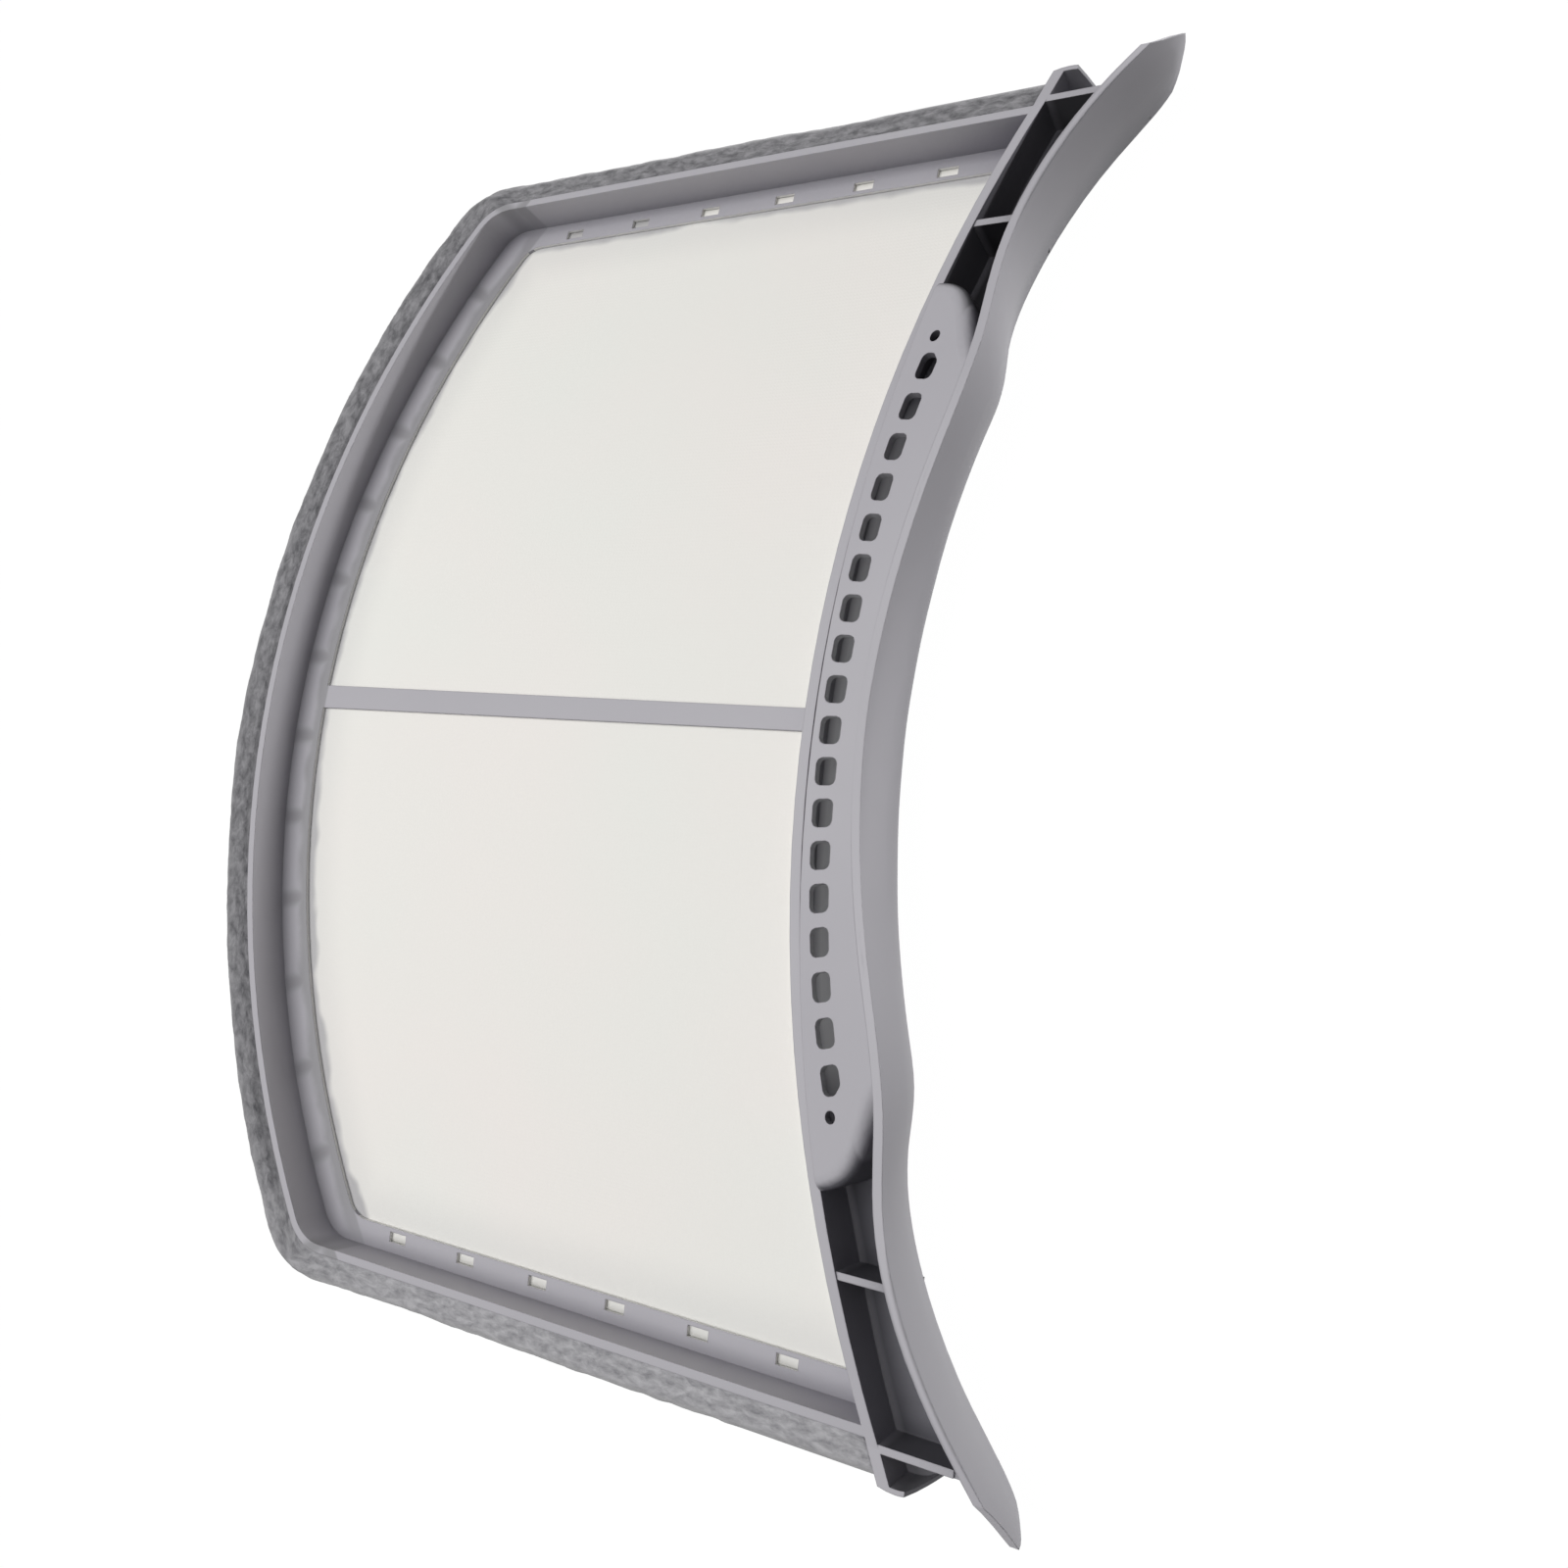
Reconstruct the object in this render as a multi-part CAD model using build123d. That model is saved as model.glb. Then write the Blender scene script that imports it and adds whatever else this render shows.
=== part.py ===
from build123d import *
import math
import os

os.makedirs("parts", exist_ok=True)

# Lint filter for the door opening of a tumble dryer, in millimetres. It lies on its back:
# X runs along the chord, Y from the bottom arc to the handle, Z up through the mesh.
# The drawing's Y starts at the bottom wall; the parts are centred on their footprint.

CENTRE_Y = 109.5        # middle of the footprint

# Tray
HALF_WIDTH = 140.0      # middle of a side wall
PANEL_LENGTH = 165.0    # bottom wall to end plate, along the centre line
BOTTOM_RADIUS = 258.0   # arc of the bottom wall, seen from the front
CORNER_RADIUS = 11.0
WALL = 2.0
RIM_Z = 20.0            # front edge of the wall at the centre line
BOW_SAG = 7.0           # the panel falls this far from the centre line to a side wall
WALL_DEPTH = 12.9
LEDGE_DEPTH = 10.0      # rim down to the ledge that holds the mesh
LEDGE = 2.0
LEDGE_SIDE = 7.0        # middle of the wall to the window
LEDGE_BOTTOM = 10.0
LEDGE_HANDLE = 6.0
WINDOW_RADIUS = 7.0
CENTRE_RIB = (6.4, 5.2)  # width at the bottom arc and at the handle

# Mesh cloth, moulded into the ledge
CLOTH = 0.4
CLOTH_DEPTH = 10.8
CLOTH_INSET = 3.0

# Shut-off slots along the side ledges, where the mould held the cloth
SLOT_X = 135.2
SLOT_Y = 63.8
SLOT_PITCH = 21.8
SLOT_COUNT = 6
SLOT_SIZE = (2.4, 5.2)

# Felt seal on three sides
SEAL_WIDTH = 7.2
SEAL_DROP = 0.6         # rim down to the front of the felt
SEAL_DEPTH = 9.0
SEAL_ROUND = 1.6        # bevel in place of the felt's soft outer edge
SEAL_GAP = 0.3          # left between the felt and the end plate

# Handle: end plate, back wall and flange make one channel, open to the front
END_RADIUS = 332.0
END_PLATE = 2.4
END_LIP = 1.2           # the plate's middle line lies this far above its lower face
BACK_WALL = 2.0
BACK_LIP = 0.8          # the flange stands this far past the back wall
FLANGE = 2.0
FLANGE_TIP = 1.0        # thickness at the last station
CHANNEL_HALF = 143.4
RIB = 1.5
RIB_X = (112.7, 142.3)

# Rounded ends of the channel, outside the last web: x and y above the end plate
CAP = [(148.2, 32.0), (149.3, 36.6), (149.0, 40.0), (147.0, 43.6), (143.6, 48.4)]
CAP_WALL = 1.0
CAP_FALL = (39.4, 43.6)  # y where the cap's front edge starts to fall, and where it is down

# Flange stations: x, then y above the end plate and z of the front edge and of the back edge
FLANGE_STATIONS = [
    (0.0, 13.2, 21.8, 19.0, 9.4),
    (10.0, 13.6, 21.9, 19.3, 9.4),
    (20.0, 14.7, 22.4, 20.0, 9.4),
    (30.0, 16.5, 23.4, 21.2, 9.4),
    (40.0, 19.0, 24.8, 22.8, 9.6),
    (55.0, 23.7, 27.0, 26.2, 9.9),
    (65.0, 27.0, 28.0, 28.8, 9.5),
    (72.0, 28.9, 28.2, 30.3, 8.3),
    (78.0, 30.1, 27.9, 30.5, 6.6),
    (86.0, 30.9, 27.2, 29.7, 4.2),
    (95.0, 31.8, 26.5, 29.8, 1.8),
    (105.0, 34.2, 26.2, 32.0, 0.2),
    (120.0, 41.2, 26.2, 38.8, 0.0),
    (134.0, 50.6, 25.2, 48.0, 0.0),
    (CHANNEL_HALF, 57.4, 23.0, 55.6, 0.0),
    (152.0, 61.6, 20.0, 60.6, 0.0),
]
FLANGE_CROWN = 1.2
FLANGE_ROUND = 3.0      # the outer face rolls in over this height at the back edge
TIP_X = 150.5
TIP_CHAMFER = 3.4

# Grille between the end plate and the flange
GRILLE = 2.0
GROOVE = 1.0
GRILLE_FOOT_Z = 21.6
GRILLE_FOOT_FALL = 0.9
NOSE = [(97.0, 10.0), (96.6, 18.0), (93.2, 23.4), (86.0, 26.8), (74.0, 31.0)]
NOSE_ROUND = 3.0
HOLE_COUNT = 18
HOLE_PITCH = 8.82
HOLE_ROW_Y = 6.2
HOLE_ROW_RADIUS = 248.0
HOLE_SIZE = (6.0, 4.8)
HOLE_CORNER = 0.9       # corners are bevelled twice, which keeps the many holes light
LAST_HOLE_CORNER = 1.8  # outer corner of the first and last hole
HOLE_EASE = 0.4         # second bevel
END_HOLE_X = 82.0
END_HOLE_DROP = 1.6
END_HOLE_RADIUS = 1.3


def bow(x):
    """Fall of the bowed panel at a distance x from the centre line."""
    radius = bow_radius()
    return radius - math.sqrt(radius**2 - x**2)


def bow_radius():
    return (HALF_WIDTH**2 + BOW_SAG**2) / (2 * BOW_SAG)


def end_y(x):
    """Middle line of the end plate, a shallow arc round the door opening."""
    return PANEL_LENGTH + END_RADIUS - math.sqrt(END_RADIUS**2 - x**2)


def bow_band(top, bottom):
    """The slice of space between two depths below the bowed rim."""
    half = 180.0
    upper = RIM_Z - top
    lower = RIM_Z - bottom
    drop = bow(half)
    with BuildPart() as band:
        with BuildSketch(Plane.XZ.offset(60)):
            with BuildLine():
                ThreePointArc((-half, upper - drop), (0, upper), (half, upper - drop))
                Line((half, upper - drop), (half, lower - drop))
                ThreePointArc((half, lower - drop), (0, lower), (-half, lower - drop))
                Line((-half, lower - drop), (-half, upper - drop))
            make_face()
        extrude(amount=-360)
    return band.part


def tray_face(grow, end_gap, radius, foot=None):
    """The panel seen from the front, grown past the middle of its wall, its foot by another amount."""
    foot = grow if foot is None else foot
    face = Pos(0, 130) * Rectangle(2 * (HALF_WIDTH + grow), 300)
    face = face & (Pos(0, BOTTOM_RADIUS) * Circle(BOTTOM_RADIUS + foot))
    face = face - Pos(0, PANEL_LENGTH + END_RADIUS) * Circle(END_RADIUS + end_gap)
    corners = face.vertices().sort_by(Axis.Y)[:2]
    return fillet(corners, radius)


def raised(face, top, bottom):
    """A face of the panel given thickness between two depths below the rim."""
    return extrude(Pos(0, 0, -5) * face, amount=60) & bow_band(top, bottom)


def section_plane(x):
    return Plane(origin=(x, 0, 0), x_dir=(0, 1, 0), z_dir=(1, 0, 0))


def at_x(x, points):
    """A cross-section of the handle in the plane at x, from (y, z) points."""
    return section_plane(x) * make_face(Polyline(*points, close=True))


def both_sides(stations):
    """Stations given from the centre line outwards, repeated on the other side."""
    mirrored = [(-s[0],) + tuple(s[1:]) for s in reversed(stations) if s[0] > 0]
    return mirrored + list(stations)


def flange_line(x):
    """Front and back edge of the flange at x, as y above the end plate and z."""
    x = abs(x)
    for left, right in zip(FLANGE_STATIONS, FLANGE_STATIONS[1:]):
        if left[0] <= x <= right[0]:
            part = (x - left[0]) / (right[0] - left[0])
            return [a + part * (b - a) for a, b in zip(left[1:], right[1:])]
    return list(FLANGE_STATIONS[-1][1:])


def inner_face(front_y, front_z, back_y, back_z):
    """Front edge, middle and back edge of the flange's inner face, which is slightly crowned."""
    front = PANEL_LENGTH + front_y - FLANGE / 2
    back = PANEL_LENGTH + back_y - FLANGE
    middle = (front + back) / 2 + FLANGE_CROWN
    return [(front, front_z), (middle, (front_z + back_z) / 2), (back, back_z)]


def flange_section(x, *line):
    """The flange alone: a thin strip, its outer face rolled in at the back edge."""
    inner = inner_face(*line)
    (front, front_z), (middle, middle_z), (back, back_z) = inner
    thick = FLANGE if x**2 <= CHANNEL_HALF**2 else FLANGE_TIP
    outer = [
        (back + 0.4 * thick, back_z),
        (back + thick, back_z + FLANGE_ROUND),
        (middle + thick, middle_z),
        (front + thick, front_z),
    ]
    edges = Spline(*inner) + Line(inner[-1], outer[0]) + Spline(*outer) + Line(outer[-1], inner[0])
    return section_plane(x) * make_face(edges)


def make_flange():
    blade = loft([flange_section(*s) for s in both_sides(FLANGE_STATIONS)])
    # Seen along Y: square ends with a chamfered back corner and a rounded front corner
    with BuildPart() as outline:
        with BuildSketch(Plane.XZ.offset(-100)):
            with Locations((0, 40)):
                Rectangle(2 * TIP_X, 80)
        extrude(amount=-200)
    blade = blade & outline.part
    for side in (-1, 1):
        corner = Plane.XZ.offset(-100) * make_face(
            Polyline(
                (side * (TIP_X - TIP_CHAMFER), -1),
                (side * (TIP_X + 2), -1),
                (side * (TIP_X + 2), TIP_CHAMFER + 2),
                close=True,
            )
        )
        blade = blade - extrude(corner, amount=-200)
        nose = Plane.XZ.offset(-100) * make_face(
            Spline(
                (side * (RIB_X[1] - 3), 29),
                (side * (RIB_X[1] + 1.5), 21.4),
                (side * (TIP_X - 1.2), 15.6),
                (side * (TIP_X + 1), 12.5),
            )
            + Polyline(
                (side * (TIP_X + 1), 12.5),
                (side * (TIP_X + 6), 12.5),
                (side * (TIP_X + 6), 34),
                (side * (RIB_X[1] - 3), 34),
                (side * (RIB_X[1] - 3), 29),
            )
        )
        blade = blade - extrude(nose, amount=-200)
    return blade


def channel_stations():
    return [s for s in FLANGE_STATIONS if s[0] <= CHANNEL_HALF]


def make_channel():
    """End plate and back wall in one, an angle that follows the flange along X."""
    sections = []
    for x, _, _, back_y, back_z in both_sides(channel_stations()):
        low = end_y(x) - END_LIP
        inside = low + END_PLATE
        high = PANEL_LENGTH + back_y - FLANGE / 2
        front = RIM_Z - bow(x)
        bottom = back_z + BACK_LIP
        top = bottom + BACK_WALL
        points = [
            (low, bottom),
            (low, front),
            (inside, front),
            (inside, top),
            (high, top),
            (high, bottom),
        ]
        sections.append(at_x(x, points))
    return loft(sections)


def make_rib(x):
    """A thin web across the channel, level with the rim, from the end plate to the flange."""
    front_y, front_z, back_y, back_z = flange_line(x)
    low = end_y(x)
    bottom = back_z + BACK_LIP + 0.5
    front = RIM_Z - bow(x) - 0.4
    rise = (front - back_z) / (front_z - back_z)
    crown = FLANGE_CROWN * min(2 * rise, 2 - 2 * rise)
    top_y = PANEL_LENGTH + back_y + rise * (front_y - back_y) + crown - FLANGE / 2
    points = [
        (low, bottom),
        (PANEL_LENGTH + back_y - FLANGE / 2, bottom),
        (top_y, front),
        (low, front),
    ]
    return extrude(at_x(x - RIB / 2, points), amount=RIB)


def cap_face(inset, web, radius):
    """The cap seen from the front, between the web, the end plate's arc and a rounded outline."""
    points = [(x - inset, PANEL_LENGTH + y) for x, y in CAP]
    first_x, first_y = points[0]
    last_y = points[-1][1]
    foot_y = first_y - 20
    left = web - 20
    face = make_face(
        Spline(*points)
        + Polyline(points[-1], (left, last_y), (left, foot_y), (first_x, foot_y), (first_x, first_y))
    )
    face = face & (Pos(0, PANEL_LENGTH + END_RADIUS) * Circle(radius))
    return face & Pos(web + 20, last_y) * Rectangle(40, 120)


def make_cap(side):
    """The rounded end of the channel, a thin wall outside the last web that falls towards the flange."""
    web = RIB_X[1] - RIB / 2
    outline = cap_face(0, web, END_RADIUS + END_LIP)
    inside = cap_face(CAP_WALL, web + RIB, END_RADIUS + END_LIP - END_PLATE)
    floor = BACK_LIP + BACK_WALL
    front = RIM_Z - bow(RIB_X[1])
    cap = extrude(Pos(0, 0, BACK_LIP) * outline, amount=front - BACK_LIP)
    cap = cap - extrude(Pos(0, 0, floor) * inside, amount=front)
    start, end = [PANEL_LENGTH + y for y in CAP_FALL]
    fall = at_x(web + RIB, [(start, front), (end, floor), (end + 20, floor), (end + 20, front)])
    cap = cap - extrude(fall, amount=20)
    return cap if side > 0 else mirror(cap, about=Plane.YZ)


def grille_foot(x):
    return end_y(x) + END_LIP + GROOVE, GRILLE_FOOT_Z - GRILLE_FOOT_FALL * (x / NOSE[0][0]) ** 2


def grille_block(sink, reach):
    """Everything under the sloping face of the grille, lowered by sink, to a reach into the flange."""
    sections = []
    between_webs = [s for s in FLANGE_STATIONS if s[0] <= RIB_X[0]]
    for x, *line in both_sides(between_webs):
        foot_y, foot_z = grille_foot(x)
        (front, front_z), (middle, middle_z), (back, back_z) = inner_face(*line)
        bottom = back_z + BACK_LIP + 0.5
        points = [
            (foot_y, bottom),
            (foot_y, foot_z - sink),
            (front + reach, front_z - sink),
            (middle + reach, middle_z),
            (back + reach, bottom),
        ]
        sections.append(at_x(x, points))
    return loft(sections)


def nose_outline(inset):
    """Seen from the front: the ends of the grille slope and round off into noses."""
    points = [(x - inset, PANEL_LENGTH + y - inset) for x, y in NOSE]
    low_x, low_y = points[0]
    high_x, high_y = points[-1]
    foot_y = PANEL_LENGTH - 5
    nose = Spline(*points)
    face = make_face(
        nose
        + Line((high_x, high_y), (-high_x, high_y))
        + mirror(nose, about=Plane.YZ)
        + Polyline((-low_x, low_y), (-low_x, foot_y), (low_x, foot_y), (low_x, low_y))
    )
    return extrude(Pos(0, 0, -5) * face, amount=60)


def make_grille():
    shell = grille_block(0, FLANGE / 2) & nose_outline(0)
    fronts = []
    for edge in shell.edges():
        across = abs((edge @ 0).X - (edge @ 1).X)
        if abs((edge @ 0.5).X) > NOSE[-1][0] and (edge @ 0.5).Z > RIM_Z and across > 5:
            fronts.append(edge)
    shell = fillet(fronts, NOSE_ROUND)
    cavity = grille_block(GRILLE, 2 * FLANGE) & nose_outline(GRILLE)
    return shell - cavity


def hole_row_y(x):
    return PANEL_LENGTH + HOLE_ROW_Y + HOLE_ROW_RADIUS - math.sqrt(HOLE_ROW_RADIUS**2 - x**2)


def hole_face(side, outer):
    """One hole of the grille, with its own bevel at the corner that points away from the tray."""

    def outward(vertex):
        return vertex.Y + 0.5 * side * vertex.X

    hole = Rectangle(*HOLE_SIZE)
    hole = chamfer(hole.vertices().sort_by(outward)[-1], outer)
    hole = chamfer(hole.vertices().sort_by(outward)[:3], HOLE_CORNER)
    return chamfer(hole.vertices(), HOLE_EASE)


def make_holes():
    cutters = []
    for i in range(HOLE_COUNT):
        x = (i - (HOLE_COUNT - 1) / 2) * HOLE_PITCH
        last = i in (0, HOLE_COUNT - 1)
        hole = hole_face(math.copysign(1, x), LAST_HOLE_CORNER if last else HOLE_CORNER)
        turn = math.degrees(math.asin(x / HOLE_ROW_RADIUS))
        hole = Pos(x, hole_row_y(x), 16) * Rot(0, 0, turn) * hole
        cutters.append(extrude(hole, amount=20))
    for x in (-END_HOLE_X, END_HOLE_X):
        hole = Pos(x, hole_row_y(x) - END_HOLE_DROP, 16) * Circle(END_HOLE_RADIUS)
        cutters.append(extrude(hole, amount=20))
    return cutters


def make_tray():
    outer = tray_face(WALL / 2, 0, CORNER_RADIUS + WALL / 2)
    inner = tray_face(-WALL / 2, 0, CORNER_RADIUS - WALL / 2)
    wall = raised(outer - inner, 0, WALL_DEPTH)
    window = tray_face(-LEDGE_SIDE, LEDGE_HANDLE, WINDOW_RADIUS, foot=-LEDGE_BOTTOM)
    rib = make_face(
        Polyline(
            (-CENTRE_RIB[0] / 2, 0),
            (CENTRE_RIB[0] / 2, 0),
            (CENTRE_RIB[1] / 2, PANEL_LENGTH),
            (-CENTRE_RIB[1] / 2, PANEL_LENGTH),
            close=True,
        )
    )
    ledge = raised(inner - (window - rib), LEDGE_DEPTH, LEDGE_DEPTH + LEDGE)
    column = GridLocations(2 * SLOT_X, SLOT_PITCH, 2, SLOT_COUNT)
    middle = Pos(0, SLOT_Y + SLOT_PITCH * (SLOT_COUNT - 1) / 2)
    slots = [middle * place * Rectangle(*SLOT_SIZE) for place in column]
    depth = RIM_Z - CLOTH_DEPTH - CLOTH / 2 - bow(SLOT_X)
    cutters = [extrude(Pos(0, 0, depth) * slot, amount=5) for slot in slots]
    return wall + (ledge - cutters)


def make_cloth():
    face = tray_face(-CLOTH_INSET, 2.5, CORNER_RADIUS - CLOTH_INSET)
    return raised(face, CLOTH_DEPTH, CLOTH_DEPTH + CLOTH)


def make_seal():
    stop = END_LIP + SEAL_GAP
    outer = tray_face(WALL / 2 + SEAL_WIDTH, stop, CORNER_RADIUS + WALL / 2 + SEAL_WIDTH)
    inner = tray_face(WALL / 2, stop, CORNER_RADIUS + WALL / 2)
    seal = raised(outer - inner, SEAL_DROP, SEAL_DROP + SEAL_DEPTH)
    front = seal.faces().sort_by(Axis.Z)[-1]
    rim = []
    for edge in front.edges():
        middle = edge @ 0.5
        if inner.distance_to((middle.X, middle.Y, 0)) > 0.9 * SEAL_WIDTH:
            rim.append(edge)
    return chamfer(rim, SEAL_ROUND)


def make_frame(cloth):
    ribs = [make_rib(side * x) for x in RIB_X for side in (-1, 1)]
    grille = make_grille() - make_holes()
    frame = make_tray() + make_channel() + make_flange() + grille
    frame = frame + ribs + [make_cap(1), make_cap(-1)]
    return frame - cloth


cloth = make_cloth()
nodes = {"frame": make_frame(cloth), "mesh": cloth, "seal": make_seal()}
for name, solid in nodes.items():
    export_step(Pos(0, -CENTRE_Y, 0) * solid, f"parts/{name}.step")
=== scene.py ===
import math

import bpy
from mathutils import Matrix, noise


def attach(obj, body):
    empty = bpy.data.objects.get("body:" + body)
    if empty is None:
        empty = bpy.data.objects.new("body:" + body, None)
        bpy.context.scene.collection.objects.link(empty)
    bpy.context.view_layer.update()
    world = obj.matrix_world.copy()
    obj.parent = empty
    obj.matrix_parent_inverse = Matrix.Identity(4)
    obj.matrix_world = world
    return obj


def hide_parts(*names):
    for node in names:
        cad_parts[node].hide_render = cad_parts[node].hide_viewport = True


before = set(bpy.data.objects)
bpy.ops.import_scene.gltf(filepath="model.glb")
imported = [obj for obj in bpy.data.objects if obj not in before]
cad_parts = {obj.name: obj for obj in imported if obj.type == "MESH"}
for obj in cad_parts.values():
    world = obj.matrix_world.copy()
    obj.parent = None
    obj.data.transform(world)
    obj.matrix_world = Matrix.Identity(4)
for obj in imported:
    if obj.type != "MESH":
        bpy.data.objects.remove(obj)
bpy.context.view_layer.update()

MM = 0.001
CENTRE_Y = 109.5 * MM  # the drawing's Y starts at the bottom wall, the frame's at the footprint's middle
FOOT_Y = 258 * MM  # centre of the bottom arc, in the drawing
END_Y = 497 * MM  # centre of the end plate's arc, in the drawing
FOOT_CENTRE = (0, FOOT_Y - CENTRE_Y, 0)
END_CENTRE = (0, END_Y - CENTRE_Y, 0)
BOW_RADIUS = (140**2 + 7**2) / 14 * MM  # the panel bows upwards along the chord
LEDGE_TOP = 10 * MM  # height of the ledge at the panel's middle
WINDOW_HALF = 133 * MM  # the window's edge at the sides,
WINDOW_FOOT = 248 * MM  # its radius along the bottom arc
WINDOW_END = 338 * MM  # and its radius along the end plate
WALL_HALF = 141 * MM  # outer face of the side walls
WALL_FOOT = 259 * MM  # outer face of the bottom wall, from the arc's centre
CORNER_Y = 41 * MM  # where the felt turns from the bottom to a side, in the drawing,
CORNER_ALONG = 148 * MM  # and how far that is along the strip
PAD_RADIUS = 250 * MM  # row of the pads that were pressed along the bottom arc
PAD_PITCH = 22.4 * MM  # distance from pad to pad
BROKEN_EDGE = 0.4 * MM  # radius of the moulding's edges
ROLLED_EDGE = 1.3 * MM  # radius of the edges of the flange's wings
FELT_VOXEL = 0.8 * MM  # size of the felt's faces


def hex_colour(code):
    """An sRGB hex value as linear red, green, blue and alpha."""
    channels = [int(code[i : i + 2], 16) / 255 for i in (0, 2, 4)]
    return [c / 12.92 if c <= 0.04045 else ((c + 0.055) / 1.055) ** 2.4 for c in channels] + [1.0]


def add(tree, kind, inputs=None, **settings):
    """One node with its settings; an input is a value or the socket that feeds it."""
    node = tree.nodes.new(kind)
    for name, value in settings.items():
        setattr(node, name, value)
    for name, value in (inputs or {}).items():
        if isinstance(value, bpy.types.NodeSocket):
            tree.links.new(value, node.inputs[name])
        else:
            node.inputs[name].default_value = value
    return node


def new_material(name):
    """A bare material with its node tree, its surface shader and the object's coordinates."""
    material = bpy.data.materials.new(name)
    material.use_nodes = True
    tree = material.node_tree
    tree.nodes.clear()
    surface = add(tree, "ShaderNodeBsdfPrincipled")
    add(tree, "ShaderNodeOutputMaterial", {"Surface": surface.outputs["BSDF"]})
    place = add(tree, "ShaderNodeTexCoord").outputs["Object"]
    return material, tree, surface, place


def dress(piece, material):
    """Gives a piece one material all over."""
    piece.data.materials.clear()
    piece.data.materials.append(material)


def only(piece):
    """Selects one object and nothing else."""
    if bpy.context.mode != "OBJECT":
        bpy.ops.object.mode_set(mode="OBJECT")
    bpy.ops.object.select_all(action="DESELECT")
    piece.select_set(True)
    bpy.context.view_layer.objects.active = piece


def shelf_distances(tree, place):
    """X and Y, distance across the chord, from the bottom arc's centre and from the end plate's centre."""
    plan = add(tree, "ShaderNodeVectorMath", {0: place, 1: (1, 1, 0)}, operation="MULTIPLY")
    plan = plan.outputs["Vector"]
    axes = add(tree, "ShaderNodeSeparateXYZ", {"Vector": plan}).outputs
    across = add(tree, "ShaderNodeMath", {0: axes["X"]}, operation="ABSOLUTE")
    foot = add(tree, "ShaderNodeVectorMath", {0: plan, 1: FOOT_CENTRE}, operation="DISTANCE")
    end = add(tree, "ShaderNodeVectorMath", {0: plan, 1: END_CENTRE}, operation="DISTANCE")
    return axes, across.outputs["Value"], foot.outputs["Value"], end.outputs["Value"]


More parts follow.
